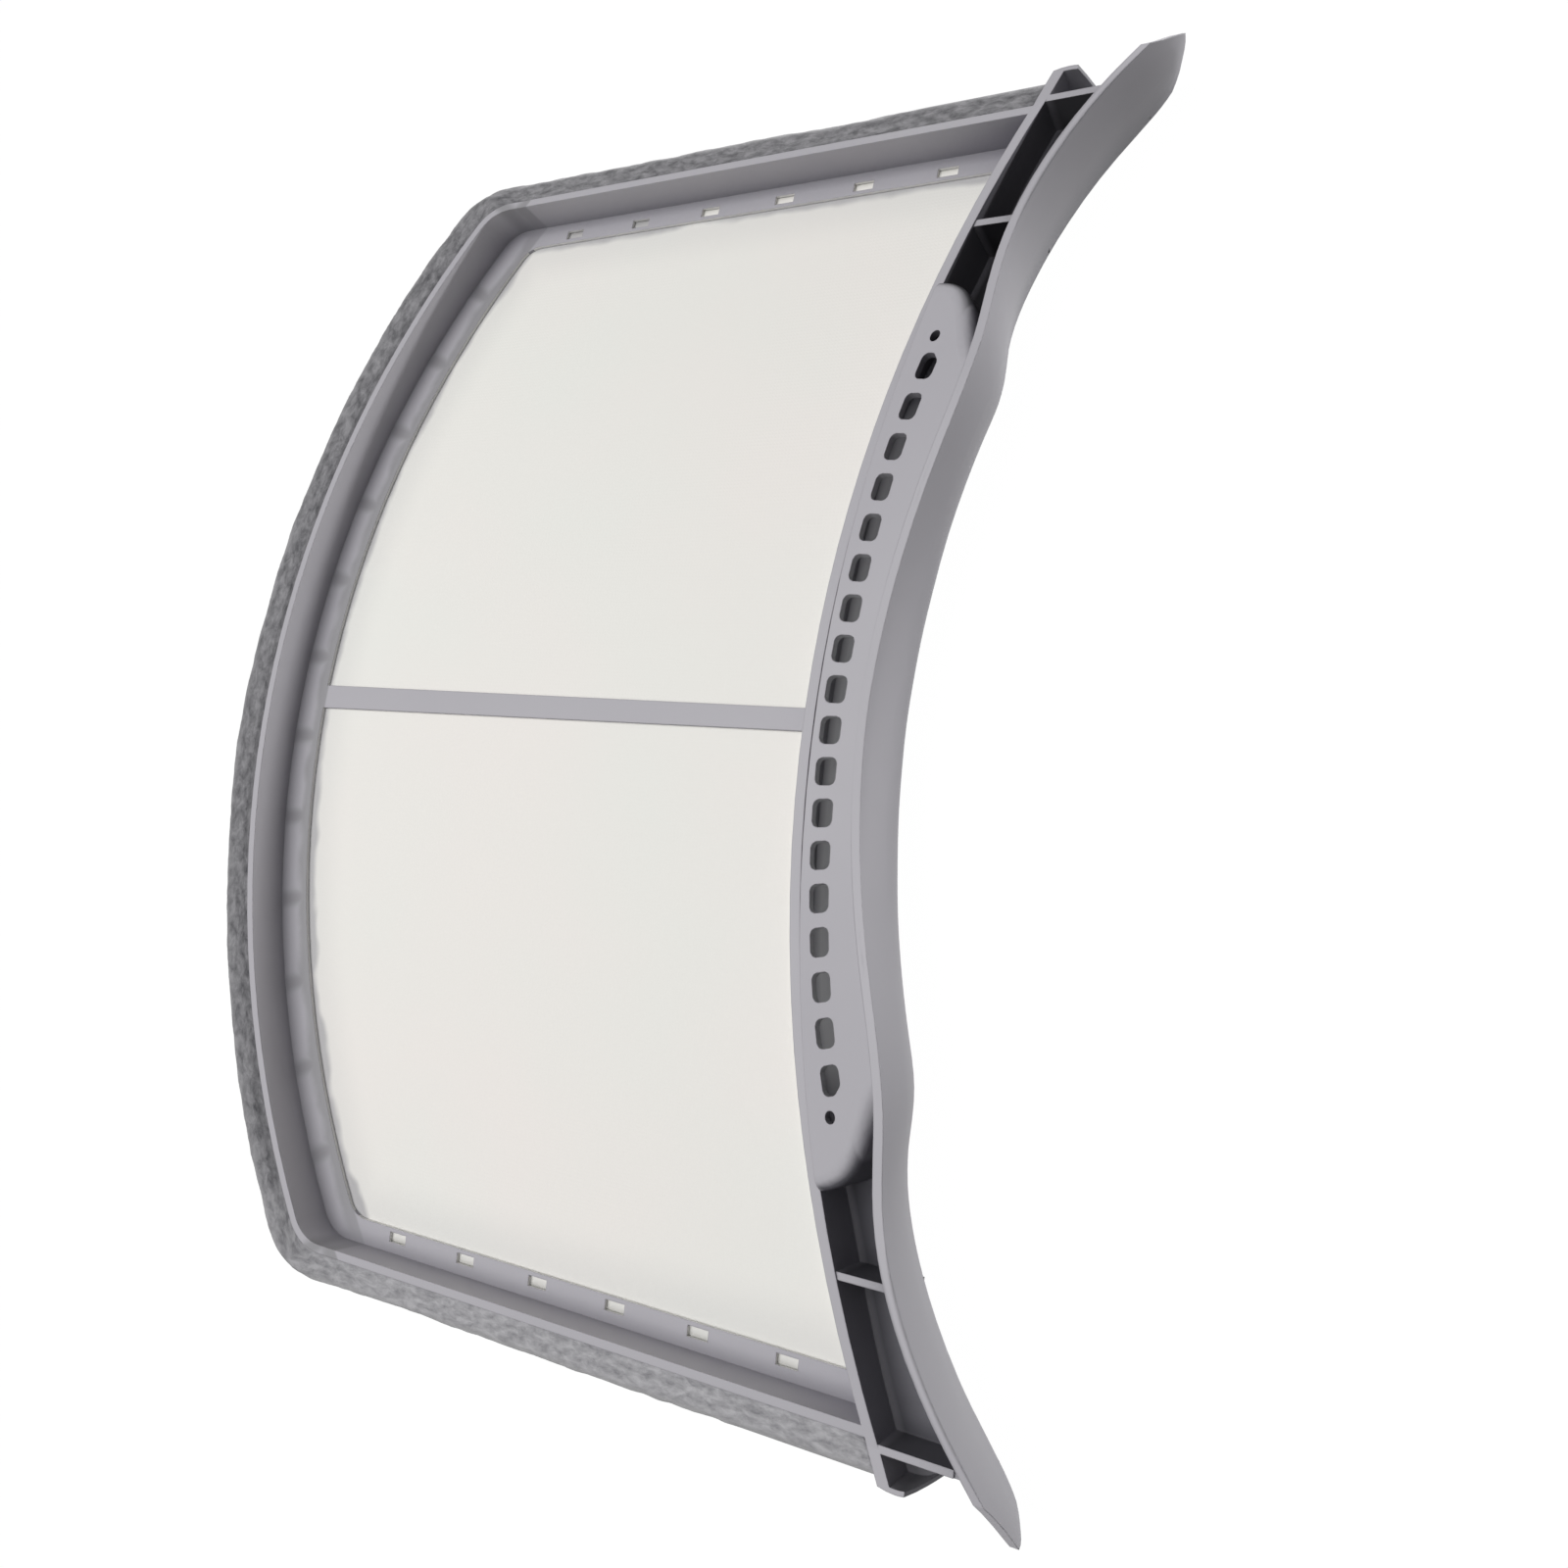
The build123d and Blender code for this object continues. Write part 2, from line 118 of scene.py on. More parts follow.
def moulded_grey_plastic():
    """Injection-moulded ABS, satin from a finely eroded mould: soft highlights, edges that catch light."""
    material, tree, surface, place = new_material("moulded_grey_plastic")
    axes, across, foot, end = shelf_distances(tree, place)
    facing = add(tree, "ShaderNodeSeparateXYZ", {"Vector": place.node.outputs["Normal"]}).outputs
    upright = add(
        tree,
        "ShaderNodeMapRange",
        {"Value": facing["Z"], "From Min": 0.6, "From Max": 0.9, "To Min": 1.0, "To Max": 0.0},
    )
    flow = add(tree, "ShaderNodeTexNoise", {"Vector": place, "Scale": 1 / (45 * MM), "Detail": 3.0})
    tone = add(
        tree,
        "ShaderNodeMix",
        {"Factor": flow.outputs["Fac"], "A": hex_colour("ACAAB0"), "B": hex_colour("B3B1B6")},
        data_type="RGBA",
    )
    # Along the bottom arc the mould pressed the cloth down pad by pad; the plastic between stayed duller
    uneven = add(tree, "ShaderNodeTexNoise", {"Vector": place, "Scale": 1 / (9 * MM), "Detail": 3.0})
    foot_line = add(
        tree,
        "ShaderNodeMath",
        {0: uneven.outputs["Fac"], 1: 4 * MM, 2: foot},
        operation="MULTIPLY_ADD",
    )
    back = add(tree, "ShaderNodeMath", {0: FOOT_CENTRE[1], 1: axes["Y"]}, operation="SUBTRACT")
    turn = add(tree, "ShaderNodeMath", {0: axes["X"], 1: back.outputs["Value"]}, operation="ARCTAN2")
    step = add(
        tree,
        "ShaderNodeMath",
        {0: turn.outputs["Value"], 1: PAD_RADIUS / PAD_PITCH, 2: 0.5},
        operation="MULTIPLY_ADD",
    )
    apart = add(tree, "ShaderNodeMath", {0: step.outputs["Value"], 1: 0.5}, operation="PINGPONG")
    notch = add(
        tree,
        "ShaderNodeMapRange",
        {
            "Value": apart.outputs["Value"],
            "From Min": 0.02,
            "From Max": 0.14,
            "To Min": 1.0,
            "To Max": 0.0,
        },
        interpolation_type="SMOOTHSTEP",
    )
    strip = add(
        tree,
        "ShaderNodeMapRange",
        {
            "Value": foot_line.outputs["Value"],
            "From Min": 251.6 * MM,
            "From Max": 254.2 * MM,
            "To Min": 1.0,
            "To Max": 0.0,
        },
        interpolation_type="SMOOTHSTEP",
    )
    dull = add(
        tree,
        "ShaderNodeMath",
        {0: notch.outputs["Result"], 1: strip.outputs["Result"]},
        operation="MAXIMUM",
    )
    on_shelf = add(
        tree,
        "ShaderNodeMapRange",
        {"Value": foot, "From Min": 247.2 * MM, "From Max": 247.8 * MM},
    )
    dull = add(
        tree,
        "ShaderNodeMath",
        {0: dull.outputs["Value"], 1: on_shelf.outputs["Result"]},
        operation="MULTIPLY",
    )
    in_tray = add(tree, "ShaderNodeMath", {0: foot, 1: 256.8 * MM}, operation="LESS_THAN")
    dull = add(
        tree,
        "ShaderNodeMath",
        {0: dull.outputs["Value"], 1: in_tray.outputs["Value"]},
        operation="MULTIPLY",
    )
    pressed = add(
        tree,
        "ShaderNodeMix",
        {"Factor": dull.outputs["Value"], "A": tone.outputs["Result"], "B": hex_colour("939295")},
        data_type="RGBA",
    )
    # Painted shade: where an occlusion mask finds a recess the grey is darkened, less so towards the +X
    # end; the finger pockets are darkened most of all, below
    shelter = add(tree, "ShaderNodeAmbientOcclusion", {"Distance": 25 * MM}, samples=6)
    closed = add(
        tree,
        "ShaderNodeMapRange",
        {"Value": shelter.outputs["AO"], "From Min": 0.25, "From Max": 0.75, "To Min": 1.0, "To Max": 0.0},
        interpolation_type="SMOOTHSTEP",
    )
    near_end = add(
        tree,
        "ShaderNodeMapRange",
        {"Value": axes["X"], "From Min": 40 * MM, "From Max": 110 * MM},
    )
    recess_shade_tone = add(
        tree,
        "ShaderNodeMix",
        {"Factor": near_end.outputs["Result"], "A": hex_colour("807E86"), "B": hex_colour("A4A2A9")},
        data_type="RGBA",
    )
    painted_shading = add(
        tree,
        "ShaderNodeMix",
        {"Factor": closed.outputs["Result"], "A": pressed.outputs["Result"], "B": recess_shade_tone.outputs["Result"]},
        data_type="RGBA",
    )
    # Painted light: the low upright edges of the ledge and of its slots, which lie in shade, are made near
    # white
    to_side = add(tree, "ShaderNodeMath", {0: WINDOW_HALF, 1: across}, operation="SUBTRACT")
    to_foot = add(tree, "ShaderNodeMath", {0: WINDOW_FOOT, 1: foot}, operation="SUBTRACT")
    to_end = add(tree, "ShaderNodeMath", {0: end, 1: WINDOW_END}, operation="SUBTRACT")
    rim = add(tree, "ShaderNodeMath", {0: to_side.outputs[0], 1: to_foot.outputs[0]}, operation="MINIMUM")
    rim = add(tree, "ShaderNodeMath", {0: rim.outputs[0], 1: to_end.outputs[0]}, operation="MINIMUM")
    off_rim = add(
        tree,
        "ShaderNodeMath",
        {0: rim.outputs[0], 1: -1.5 * MM, 2: 2.0 * MM},
        operation="COMPARE",
    )
    lit_upright = add(
        tree,
        "ShaderNodeMath",
        {0: upright.outputs["Result"], 1: off_rim.outputs["Value"]},
        operation="MULTIPLY",
    )
    painted_shading = add(
        tree,
        "ShaderNodeMix",
        {"Factor": lit_upright.outputs["Value"], "A": painted_shading.outputs["Result"], "B": hex_colour("DEDDDB")},
        data_type="RGBA",
    )
    in_handle = add(
        tree,
        "ShaderNodeMapRange",
        {"Value": end, "From Min": 329 * MM, "From Max": 331.5 * MM, "To Min": 1.0, "To Max": 0.0},
    )
    hollow = add(
        tree,
        "ShaderNodeMath",
        {0: in_handle.outputs["Result"], 1: closed.outputs["Result"]},
        operation="MULTIPLY",
    )
    # Painted shade: the finger pockets, deep by the occlusion mask, are made near black, darkest towards
    # -X and lighter in the end caps
    past_nose = add(
        tree,
        "ShaderNodeMapRange",
        {"Value": across, "From Min": 74 * MM, "From Max": 96 * MM},
    )
    deep = add(
        tree,
        "ShaderNodeMapRange",
        {"Value": shelter.outputs["AO"], "From Min": 0.45, "From Max": 0.92, "To Min": 1.0, "To Max": 0.0},
        interpolation_type="SMOOTHSTEP",
    )
    deep = add(
        tree,
        "ShaderNodeMath",
        {0: deep.outputs["Result"], 1: upright.outputs["Result"]},
        operation="MAXIMUM",
    )
    outward = add(tree, "ShaderNodeMapRange", {"Value": facing["Y"], "From Min": 0.05, "From Max": 0.3})
    outermost = add(
        tree,
        "ShaderNodeMapRange",
        {"Value": end, "From Min": 318.5 * MM, "From Max": 319.2 * MM, "To Min": 1.0, "To Max": 0.0},
    )
    outside = add(
        tree,
        "ShaderNodeMath",
        {0: outward.outputs["Result"], 1: outermost.outputs["Result"]},
        operation="MULTIPLY",
    )
    pocket = add(
        tree,
        "ShaderNodeMath",
        {0: deep.outputs["Value"], 1: outside.outputs["Value"]},
        operation="SUBTRACT",
        use_clamp=True,
    )
    pocket = add(
        tree,
        "ShaderNodeMath",
        {0: pocket.outputs["Value"], 1: past_nose.outputs["Result"]},
        operation="MULTIPLY",
    )
    pocket = add(
        tree,
        "ShaderNodeMath",
        {0: pocket.outputs["Value"], 1: in_handle.outputs["Result"]},
        operation="MULTIPLY",
    )
    # The flange's tips stand past the pockets and get no painted shade
    in_row = add(
        tree,
        "ShaderNodeMapRange",
        {"Value": across, "From Min": 139 * MM, "From Max": 142 * MM, "To Min": 1.0, "To Max": 0.0},
    )
    off_tip = add(
        tree,
        "ShaderNodeMapRange",
        {"Value": end, "From Min": 313.5 * MM, "From Max": 316 * MM},
    )
    behind_tip = add(
        tree,
        "ShaderNodeMath",
        {0: in_row.outputs["Result"], 1: off_tip.outputs["Result"]},
        operation="MAXIMUM",
    )
    pocket = add(
        tree,
        "ShaderNodeMath",
        {0: pocket.outputs["Value"], 1: behind_tip.outputs["Value"]},
        operation="MULTIPLY",
    )
    far_end = add(
        tree,
        "ShaderNodeMapRange",
        {"Value": axes["X"], "From Min": -60 * MM, "From Max": 60 * MM},
    )
    pocket_shade_tone = add(
        tree,
        "ShaderNodeMix",
        {"Factor": far_end.outputs["Result"], "A": hex_colour("2A292D"), "B": hex_colour("56555C")},
        data_type="RGBA",
    )
    in_cap = add(
        tree,
        "ShaderNodeMapRange",
        {"Value": across, "From Min": 141 * MM, "From Max": 143 * MM},
    )
    pocket_shade_tone = add(
        tree,
        "ShaderNodeMix",
        {"Factor": in_cap.outputs["Result"], "A": pocket_shade_tone.outputs["Result"], "B": hex_colour("7A797E")},
        data_type="RGBA",
    )
    handle_shading = add(
        tree,
        "ShaderNodeMix",
        {"Factor": pocket.outputs["Value"], "A": painted_shading.outputs["Result"], "B": pocket_shade_tone.outputs["Result"]},
        data_type="RGBA",
    )
    # Painted light: inside the grille the hollow is made pale, except towards its far end
    grille_light_along = add(
        tree,
        "ShaderNodeMapRange",
        {"Value": axes["X"], "From Min": -85 * MM, "From Max": -25 * MM},
    )
    behind = add(
        tree,
        "ShaderNodeMapRange",
        {"Value": across, "From Min": 72 * MM, "From Max": 84 * MM},
    )
    grille_light = add(
        tree,
        "ShaderNodeMath",
        {0: grille_light_along.outputs["Result"], 1: behind.outputs["Result"]},
        operation="SUBTRACT",
        use_clamp=True,
    )
    grille_light = add(
        tree,
        "ShaderNodeMath",
        {0: grille_light.outputs["Value"], 1: hollow.outputs["Value"]},
        operation="MULTIPLY",
    )
    handle_shading = add(
        tree,
        "ShaderNodeMix",
        {"Factor": grille_light.outputs["Value"], "A": handle_shading.outputs["Result"], "B": hex_colour("C8C8CA")},
        data_type="RGBA",
    )
    grit = add(tree, "ShaderNodeTexNoise", {"Vector": place, "Scale": 1 / (0.5 * MM), "Detail": 2.0})
    # The wings of the flange are rolled softly at their edges, the rest of the moulding only broken
    from_wing = add(tree, "ShaderNodeMath", {0: across, 1: 122 * MM}, operation="SUBTRACT")
    from_wing = add(tree, "ShaderNodeMath", {0: from_wing.outputs["Value"]}, operation="ABSOLUTE")
    wing = add(
        tree,
        "ShaderNodeMapRange",
        {
            "Value": from_wing.outputs["Value"],
            "From Min": 12 * MM,
            "From Max": 20 * MM,
            "To Min": ROLLED_EDGE,
            "To Max": BROKEN_EDGE,
        },
    )
    roll = add(
        tree,
        "ShaderNodeMapRange",
        {
            "Value": end,
            "From Min": 317.8 * MM,
            "From Max": 318.6 * MM,
            "To Min": wing.outputs["Result"],
            "To Max": BROKEN_EDGE,
        },
    )
    edge = add(tree, "ShaderNodeBevel", {"Radius": roll.outputs["Result"]}, samples=4)
    skin = add(
        tree,
        "ShaderNodeBump",
        {
            "Strength": 0.06,
            "Distance": 0.1 * MM,
            "Height": grit.outputs["Fac"],
            "Normal": edge.outputs["Normal"],
        },
    )
    tree.links.new(handle_shading.outputs["Result"], surface.inputs["Base Color"])
    tree.links.new(skin.outputs["Normal"], surface.inputs["Normal"])
    surface.inputs["Roughness"].default_value = 0.48
    surface.inputs["IOR"].default_value = 1.54
    surface.inputs["Specular IOR Level"].default_value = 0.3
    return material


def woven_polyester():
    """Fine white monofilament cloth, plain weave, dull, with faint stains from use."""
    material, tree, surface, place = new_material("woven_polyester")
    axes, across, foot, _ = shelf_distances(tree, place)
    thread = 0.9 * MM  # the real threads lie about 0.25 mm apart, too fine to show
    band = 0.314  # metres from band to band at a scale of 1
    waves = {"Vector": place, "Scale": band / thread}
    warp = add(tree, "ShaderNodeTexWave", waves, bands_direction="X")
    weft = add(tree, "ShaderNodeTexWave", waves, bands_direction="Y")
    weave = add(
        tree,
        "ShaderNodeMath",
        {0: warp.outputs["Fac"], 1: weft.outputs["Fac"]},
        operation="MAXIMUM",
    )
    stain = add(tree, "ShaderNodeTexNoise", {"Vector": place, "Scale": 1 / (70 * MM), "Detail": 3.0})
    warm = add(
        tree,
        "ShaderNodeMix",
        {"Factor": stain.outputs["Fac"], "A": hex_colour("E9ECE6"), "B": hex_colour("F1EAE6")},
        data_type="RGBA",
    )
    # Plastic crept into the cloth along the arc and the far side: a ragged grey seam; painted shade
    # darkens the cloth towards the window's edges
    to_side = add(tree, "ShaderNodeMath", {0: WINDOW_HALF, 1: across}, operation="SUBTRACT")
    to_far = add(tree, "ShaderNodeMath", {0: WINDOW_HALF, 1: axes["X"]}, operation="ADD")
    to_foot = add(tree, "ShaderNodeMath", {0: WINDOW_FOOT, 1: foot}, operation="SUBTRACT")
    rim = add(tree, "ShaderNodeMath", {0: to_side.outputs[0], 1: to_foot.outputs[0]}, operation="MINIMUM")
    near = add(tree, "ShaderNodeMath", {0: to_far.outputs[0], 1: to_foot.outputs[0]}, operation="MINIMUM")
    ragged = add(tree, "ShaderNodeTexNoise", {"Vector": place, "Scale": 1 / (16 * MM), "Detail": 2.0})
    wider = add(
        tree,
        "ShaderNodeMapRange",
        {"Value": axes["X"], "From Min": 0.0, "From Max": 70 * MM, "To Min": 5.0 * MM, "To Max": 8.0 * MM},
    )
    reach = add(
        tree,
        "ShaderNodeMath",
        {0: ragged.outputs["Fac"], 1: wider.outputs["Result"]},
        operation="MULTIPLY",
    )
    reach = add(tree, "ShaderNodeMath", {0: near.outputs[0], 1: reach.outputs[0]}, operation="SUBTRACT")
    seam = add(
        tree,
        "ShaderNodeMapRange",
        {
            "Value": reach.outputs[0],
            "From Min": -2.4 * MM,
            "From Max": -0.2 * MM,
            "To Min": 0.8,
            "To Max": 0.0,
        },
        interpolation_type="SMOOTHSTEP",
    )
    inside = add(
        tree,
        "ShaderNodeMapRange",
        {"Value": near.outputs[0], "From Min": -0.8 * MM, "From Max": -0.2 * MM},
    )
    seam = add(
        tree,
        "ShaderNodeMath",
        {0: seam.outputs["Result"], 1: inside.outputs["Result"]},
        operation="MULTIPLY",
    )
    shade = add(
        tree,
        "ShaderNodeMapRange",
        {"Value": rim.outputs[0], "From Min": 0.0, "From Max": 14 * MM, "To Min": 0.4, "To Max": 0.0},
        interpolation_type="SMOOTHSTEP",
    )
    shade = add(
        tree,
        "ShaderNodeMath",
        {0: shade.outputs["Result"], 1: inside.outputs["Result"]},
        operation="MULTIPLY",
    )
    shaded = add(
        tree,
        "ShaderNodeMix",
        {"Factor": shade.outputs["Value"], "A": warm.outputs["Result"], "B": hex_colour("CFCFCD")},
        data_type="RGBA",
    )
    edged = add(
        tree,
        "ShaderNodeMix",
        {"Factor": seam.outputs["Value"], "A": shaded.outputs["Result"], "B": hex_colour("A5A4A7")},
        data_type="RGBA",
    )
    # The slots of the far side are clogged with grey lint towards the corner
    clogged = add(
        tree,
        "ShaderNodeMapRange",
        {"Value": axes["Y"], "From Min": -16 * MM, "From Max": -4 * MM, "To Min": 0.85, "To Max": 0.0},
    )
    far_slot = add(tree, "ShaderNodeMath", {0: axes["X"], 1: -133.6 * MM}, operation="LESS_THAN")
    clogged = add(
        tree,
        "ShaderNodeMath",
        {0: clogged.outputs["Result"], 1: far_slot.outputs["Value"]},
        operation="MULTIPLY",
    )
    edged = add(
        tree,
        "ShaderNodeMix",
        {"Factor": clogged.outputs["Value"], "A": edged.outputs["Result"], "B": hex_colour("AFAEAF")},
        data_type="RGBA",
    )
    relief = add(
        tree,
        "ShaderNodeBump",
        {"Strength": 0.15, "Distance": 0.1 * MM, "Height": weave.outputs["Value"]},
    )
    tree.links.new(edged.outputs["Result"], surface.inputs["Base Color"])
    tree.links.new(relief.outputs["Normal"], surface.inputs["Normal"])
    surface.inputs["Roughness"].default_value = 0.75
    surface.inputs["IOR"].default_value = 1.57
    return material


def needled_felt():
    """Grey needled felt: matted fibres in flat clumps along the strip, dull, darker along the bottom arc;
    painted light makes it paler at its outer edge.
    """
    material, tree, surface, _ = new_material("needled_felt")
    strip = add(tree, "ShaderNodeAttribute", attribute_name="along_strip").outputs["Vector"]
    axes = add(tree, "ShaderNodeSeparateXYZ", {"Vector": strip}).outputs
    drawn = add(tree, "ShaderNodeVectorMath", {0: strip, 1: (0.45, 1, 1)}, operation="MULTIPLY")
    drawn = drawn.outputs["Vector"]
    clump = add(
        tree,
        "ShaderNodeTexNoise",
        {"Vector": drawn, "Scale": 1 / (1.5 * MM), "Detail": 4.0, "Roughness": 0.65, "Distortion": 0.3},
    )
    mottle = add(
        tree,
        "ShaderNodeMapRange",
        {"Value": clump.outputs["Fac"], "From Min": 0.28, "From Max": 0.66},
    )
    darker_on_arc = add(
        tree,
        "ShaderNodeMix",
        {"Factor": mottle.outputs["Result"], "A": hex_colour("4F4F52"), "B": hex_colour("8F8E91")},
        data_type="RGBA",
    )
    paler_on_sides = add(
        tree,
        "ShaderNodeMix",
        {"Factor": mottle.outputs["Result"], "A": hex_colour("7E7D81"), "B": hex_colour("B4B3B6")},
        data_type="RGBA",
    )
    # The felt is darker along the bottom arc than along the sides
    near_side = add(
        tree,
        "ShaderNodeMapRange",
        {"Value": axes["X"], "From Min": 120 * MM, "From Max": 170 * MM},
    )
    body = add(
        tree,
        "ShaderNodeMix",
        {
            "Factor": near_side.outputs["Result"],
            "A": darker_on_arc.outputs["Result"],
            "B": paler_on_sides.outputs["Result"],
        },
        data_type="RGBA",
    )
    # Painted light: the felt turns paler towards its outer edge
    outer = add(
        tree,
        "ShaderNodeMapRange",
        {"Value": axes["Y"], "From Min": 4.2 * MM, "From Max": 7.4 * MM, "To Max": 0.7},
        interpolation_type="SMOOTHSTEP",
    )
    tone = add(
        tree,
        "ShaderNodeMix",
        {"Factor": outer.outputs["Result"], "A": body.outputs["Result"], "B": hex_colour("B4B3B5")},
        data_type="RGBA",
    )
    hair = add(
        tree,
        "ShaderNodeTexNoise",
        {"Vector": drawn, "Scale": 1 / (0.7 * MM), "Detail": 3.0, "Distortion": 1.2},
    )
    nap = add(
        tree,
        "ShaderNodeBump",
        {"Strength": 0.5, "Distance": 0.3 * MM, "Height": hair.outputs["Fac"]},
    )
    tree.links.new(tone.outputs["Result"], surface.inputs["Base Color"])
    tree.links.new(nap.outputs["Normal"], surface.inputs["Normal"])
    surface.inputs["Roughness"].default_value = 0.95
    surface.inputs["Specular IOR Level"].default_value = 0.2
    surface.inputs["Sheen Weight"].default_value = 0.2
    surface.inputs["Sheen Roughness"].default_value = 0.6
    return material


def ease(value, start, end):
    """0 before start, 1 after end, smooth between."""
    part = min(max((value - start) / (end - start), 0), 1)
    return part * part * (3 - 2 * part)


def bow_fall(x):
    """How far the bowed panel has fallen at a distance from its middle."""
    return BOW_RADIUS - math.sqrt(BOW_RADIUS**2 - x**2)


def strip_place(x, y):
    """Place on the felt strip: how far along from the middle, how far out from the wall, share of foot."""
    drawing_y = y + CENTRE_Y
    out_foot = math.hypot(x, drawing_y - FOOT_Y) - WALL_FOOT
    out_side = abs(x) - WALL_HALF
    foot = 1 - ease(drawing_y, 30 * MM, 52 * MM)
    along_foot = FOOT_Y * math.atan2(abs(x), FOOT_Y - drawing_y)
    along_side = CORNER_ALONG + drawing_y - CORNER_Y
    along = foot * along_foot + (1 - foot) * along_side
    out = max(out_foot, out_side) if drawing_y < 60 * MM else out_side
    return math.copysign(along, x), out, foot


def make_felt():
    """The felt strip, copied from its plain solid, closed up, then puffed out and creased lengthwise."""
    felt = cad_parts["seal"].copy()
    felt.data = felt.data.copy()
    felt.name = "felt_strip"
    felt.parent = None
    for key in list(felt.keys()):
        del felt[key]
    bpy.context.scene.collection.objects.link(felt)
    only(felt)
    bpy.ops.object.mode_set(mode="EDIT")
    bpy.ops.mesh.select_all(action="SELECT")
    bpy.ops.mesh.remove_doubles(threshold=0.01 * MM)
    bpy.ops.object.mode_set(mode="OBJECT")
    bpy.ops.mesh.customdata_custom_splitnormals_clear()
    felt.data.use_remesh_preserve_attributes = False
    felt.data.remesh_voxel_size = FELT_VOXEL
    bpy.ops.object.voxel_remesh()
    even = felt.modifiers.new("even", "SMOOTH")
    even.factor = 0.5
    even.iterations = 4
    bpy.ops.object.modifier_apply(modifier="even")
    mesh = felt.data
    places = [strip_place(v.co.x, v.co.y) for v in mesh.vertices]
    normals = [v.normal.copy() for v in mesh.vertices]
    for v, normal, (along, out, foot) in zip(mesh.vertices, normals, places):
        loose = ease(out, 0.6 * MM, 3 * MM) * (1 - ease(abs(along), 268 * MM, 276 * MM))
        spot = (along / (7 * MM), out / (2 * MM), v.co.z / (2 * MM))
        crease = noise.fractal(spot, 0.9, 2.0, 3, noise_basis="PERLIN_NEW")
        bulge = noise.noise((along / (32 * MM), 0.3, 7.4), noise_basis="PERLIN_NEW")
        push = (0.25 * crease + 0.5 * bulge) * MM * loose
        v.co += normal * push
        # Along the bottom arc the felt stands up over the rim and leans outwards
        v.co.z += 1.5 * MM * foot * loose
        lean = 1.3 * MM * foot * ease(out, 2 * MM, 6 * MM)
        reach = math.hypot(v.co.x, v.co.y - FOOT_CENTRE[1])
        v.co.x += lean * v.co.x / reach
        v.co.y += lean * (v.co.y - FOOT_CENTRE[1]) / reach
    strip = mesh.attributes.new("along_strip", "FLOAT_VECTOR", "POINT")
    for item, v, (along, out, _) in zip(strip.data, mesh.vertices, places):
        item.vector = (along, out, v.co.z)
    bpy.ops.object.shade_smooth()
    return felt


def make_cloth():
    """One taut cloth between the side ledges, from the bottom arc to the end plate."""
    bpy.ops.object.select_all(action="DESELECT")
    bpy.ops.mesh.primitive_grid_add(x_subdivisions=120, y_subdivisions=80, size=1)
    cloth = bpy.context.object
    cloth.name = "mesh_cloth"
    width = 2 * 136.6 * MM
    foot_radius = 254.5 * MM
    end_radius = 334.8 * MM
    height = 9.1 * MM
    for v in cloth.data.vertices:
        x = v.co.x * width
        low = FOOT_Y - math.sqrt(foot_radius**2 - x**2)
        high = END_Y - math.sqrt(end_radius**2 - x**2)
        along = v.co.y + 0.5
        v.co = (x, low + along * (high - low) - CENTRE_Y, height - bow_fall(x))
    only(cloth)
    thick = cloth.modifiers.new("thick", "SOLIDIFY")
    thick.thickness = 0.25 * MM
    bpy.ops.object.modifier_apply(modifier="thick")
    bpy.ops.object.shade_smooth()
    return cloth


def make_end_foot():
    """The foot of the end plate: a thin curved bar that joins the plate to the ledge."""
    bpy.ops.object.select_all(action="DESELECT")
    bpy.ops.mesh.primitive_grid_add(x_subdivisions=56, y_subdivisions=1, size=1)
    foot = bpy.context.object
    foot.name = "end_foot"
    width = 168 * MM
    radius = 332.65 * MM
    sunk = 0.5 * MM  # into the ledge
    high = 11.3 * MM  # inside the plate
    for v in foot.data.vertices:
        x = v.co.x * width
        y = END_CENTRE[1] - math.sqrt(radius**2 - x**2)
        low = LEDGE_TOP - bow_fall(x) - sunk
        v.co = (x, y, low + (v.co.y + 0.5) * (high - low))
    only(foot)
    thick = foot.modifiers.new("thick", "SOLIDIFY")
    thick.thickness = 1.0 * MM
    thick.offset = 0
    bpy.ops.object.modifier_apply(modifier="thick")
    return foot


def make_floor():
    """A plain white table; the camera sees it near white and it keeps a soft shadow."""
    bpy.ops.object.select_all(action="DESELECT")
    bpy.ops.mesh.primitive_plane_add(size=8.0, location=(0, 0, -0.0002))
    floor = bpy.context.object
    floor.name = "floor"
    material = bpy.data.materials.new("white_table")
    material.use_nodes = True
    tree = material.node_tree
    tree.nodes.clear()
    ray = add(tree, "ShaderNodeLightPath").outputs
    seen = add(
        tree,
        "ShaderNodeMath",
        {0: ray["Is Camera Ray"], 1: ray["Is Glossy Ray"]},
        operation="MAXIMUM",
    )
    seen = add(
        tree,
        "ShaderNodeMath",
        {0: seen.outputs["Value"], 1: ray["Is Transmission Ray"]},
        operation="MAXIMUM",
    )
    # The white share and its strength come to 1 together, and the matt rest shows the shadow
    share = add(tree, "ShaderNodeMath", {0: seen.outputs["Value"], 1: 0.88}, operation="MULTIPLY")
    matt = add(tree, "ShaderNodeBsdfDiffuse", {"Color": hex_colour("686868")})
    white = add(tree, "ShaderNodeEmission", {"Color": hex_colour("FFFFFF"), "Strength": 1.13})
    both = add(
        tree,
        "ShaderNodeMixShader",
        {0: share.outputs["Value"], 1: matt.outputs["BSDF"], 2: white.outputs["Emission"]},
    )
    add(tree, "ShaderNodeOutputMaterial", {"Surface": both.outputs["Shader"]})
    dress(floor, material)


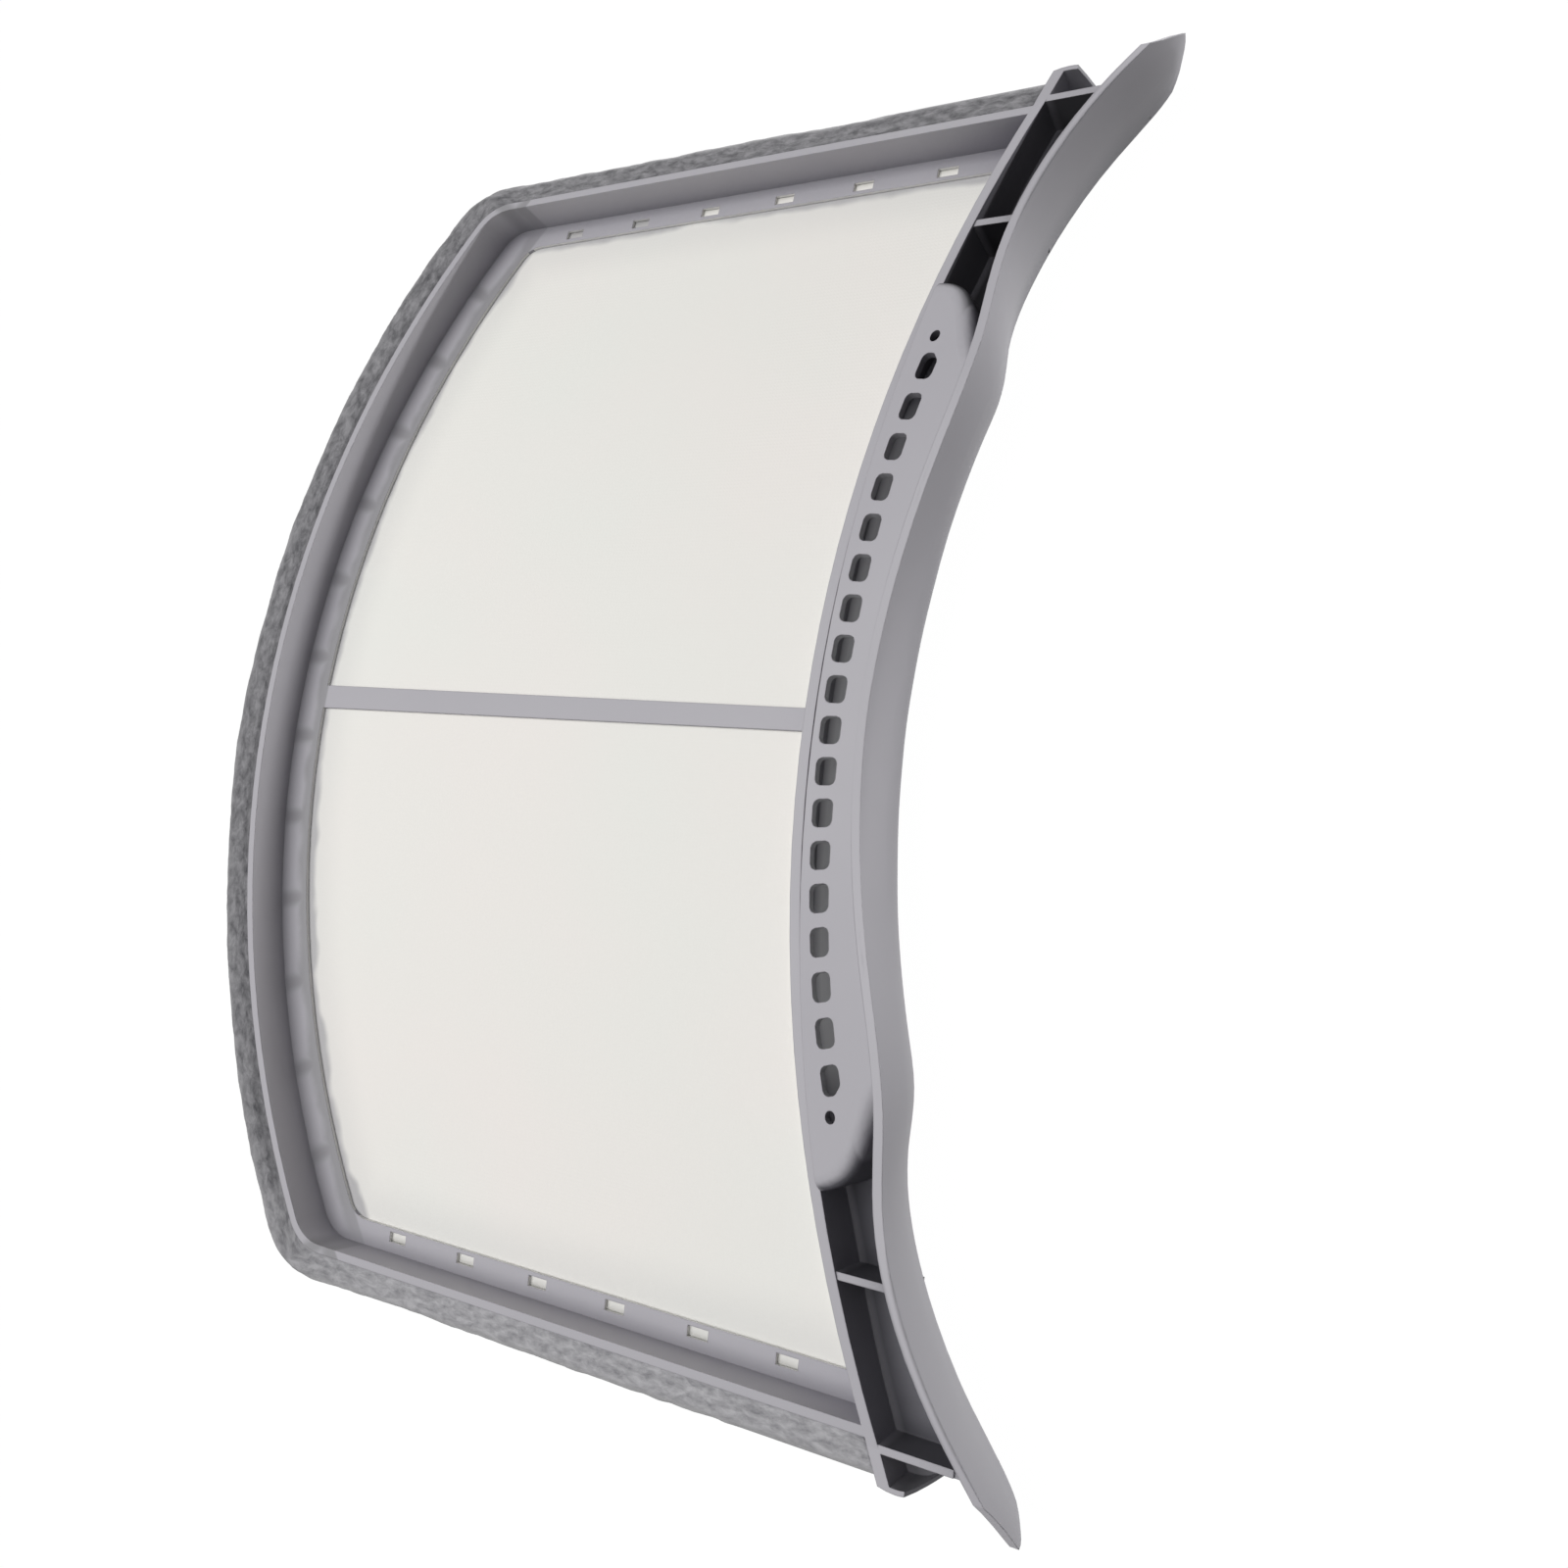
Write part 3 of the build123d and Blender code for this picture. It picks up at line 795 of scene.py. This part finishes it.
def add_lamp(name, place, aim, size, power):
    """A soft rectangular lamp, turned towards its aim."""
    data = bpy.data.lights.new(name, "AREA")
    data.shape = "RECTANGLE"
    data.size, data.size_y = size
    data.energy = power
    lamp = bpy.data.objects.new(name, data)
    bpy.context.scene.collection.objects.link(lamp)
    lamp.location = place
    dx, dy, dz = (a - p for a, p in zip(aim, place))
    tilt = math.acos(-dz / math.sqrt(dx**2 + dy**2 + dz**2))
    lamp.rotation_euler = (tilt, 0, math.atan2(-dx, dy))


def light_scene():
    """Plain studio light: a pale room, a large lamp overhead and a low card past the handle's far end."""
    world = bpy.data.worlds.new("studio")
    bpy.context.scene.world = world
    world.use_nodes = True
    tree = world.node_tree
    tree.nodes.clear()
    ray = add(tree, "ShaderNodeLightPath").outputs
    soft = add(tree, "ShaderNodeBackground", {"Color": hex_colour("FFFFFF"), "Strength": 0.2})
    white = add(tree, "ShaderNodeBackground", {"Color": hex_colour("FFFFFF"), "Strength": 1.0})
    both = add(
        tree,
        "ShaderNodeMixShader",
        {0: ray["Is Camera Ray"], 1: soft.outputs["Background"], 2: white.outputs["Background"]},
    )
    add(tree, "ShaderNodeOutputWorld", {"Surface": both.outputs["Shader"]})
    add_lamp("overhead", (0.05, -0.42, 1.45), (0, 0, 0), (1.3, 1.3), 21.3)
    add_lamp("low_card", (-0.55, 0.5, 0.010), (0, 0.08, 0.010), (0.3, 0.016), 3.4)


def add_camera():
    """The photograph's view: from above, past the handle, turned a quarter."""
    data = bpy.data.cameras.new("camera")
    camera = bpy.data.objects.new("camera", data)
    bpy.context.scene.collection.objects.link(camera)
    data.sensor_width = 36.0
    data.sensor_fit = "HORIZONTAL"
    data.lens = 28.391
    data.clip_start = 0.01
    camera.location = (0.050617, 0.172415, 0.252065)
    camera.rotation_euler = [math.radians(a) for a in (11.5562, 26.0941, 99.0521)]
    bpy.context.scene.camera = camera


def main():
    """Dresses the moulding, makes the felt and the cloth, and sets up table, light and camera."""
    plastic = moulded_grey_plastic()
    dress(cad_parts["frame"], plastic)
    foot = make_end_foot()
    dress(foot, plastic)
    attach(foot, "root")
    felt = make_felt()
    dress(felt, needled_felt())
    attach(felt, "root")
    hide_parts("seal")
    cloth = make_cloth()
    dress(cloth, woven_polyester())
    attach(cloth, "root")
    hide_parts("mesh")
    make_floor()
    light_scene()
    add_camera()
    bpy.context.scene.view_settings.view_transform = "Standard"


main()
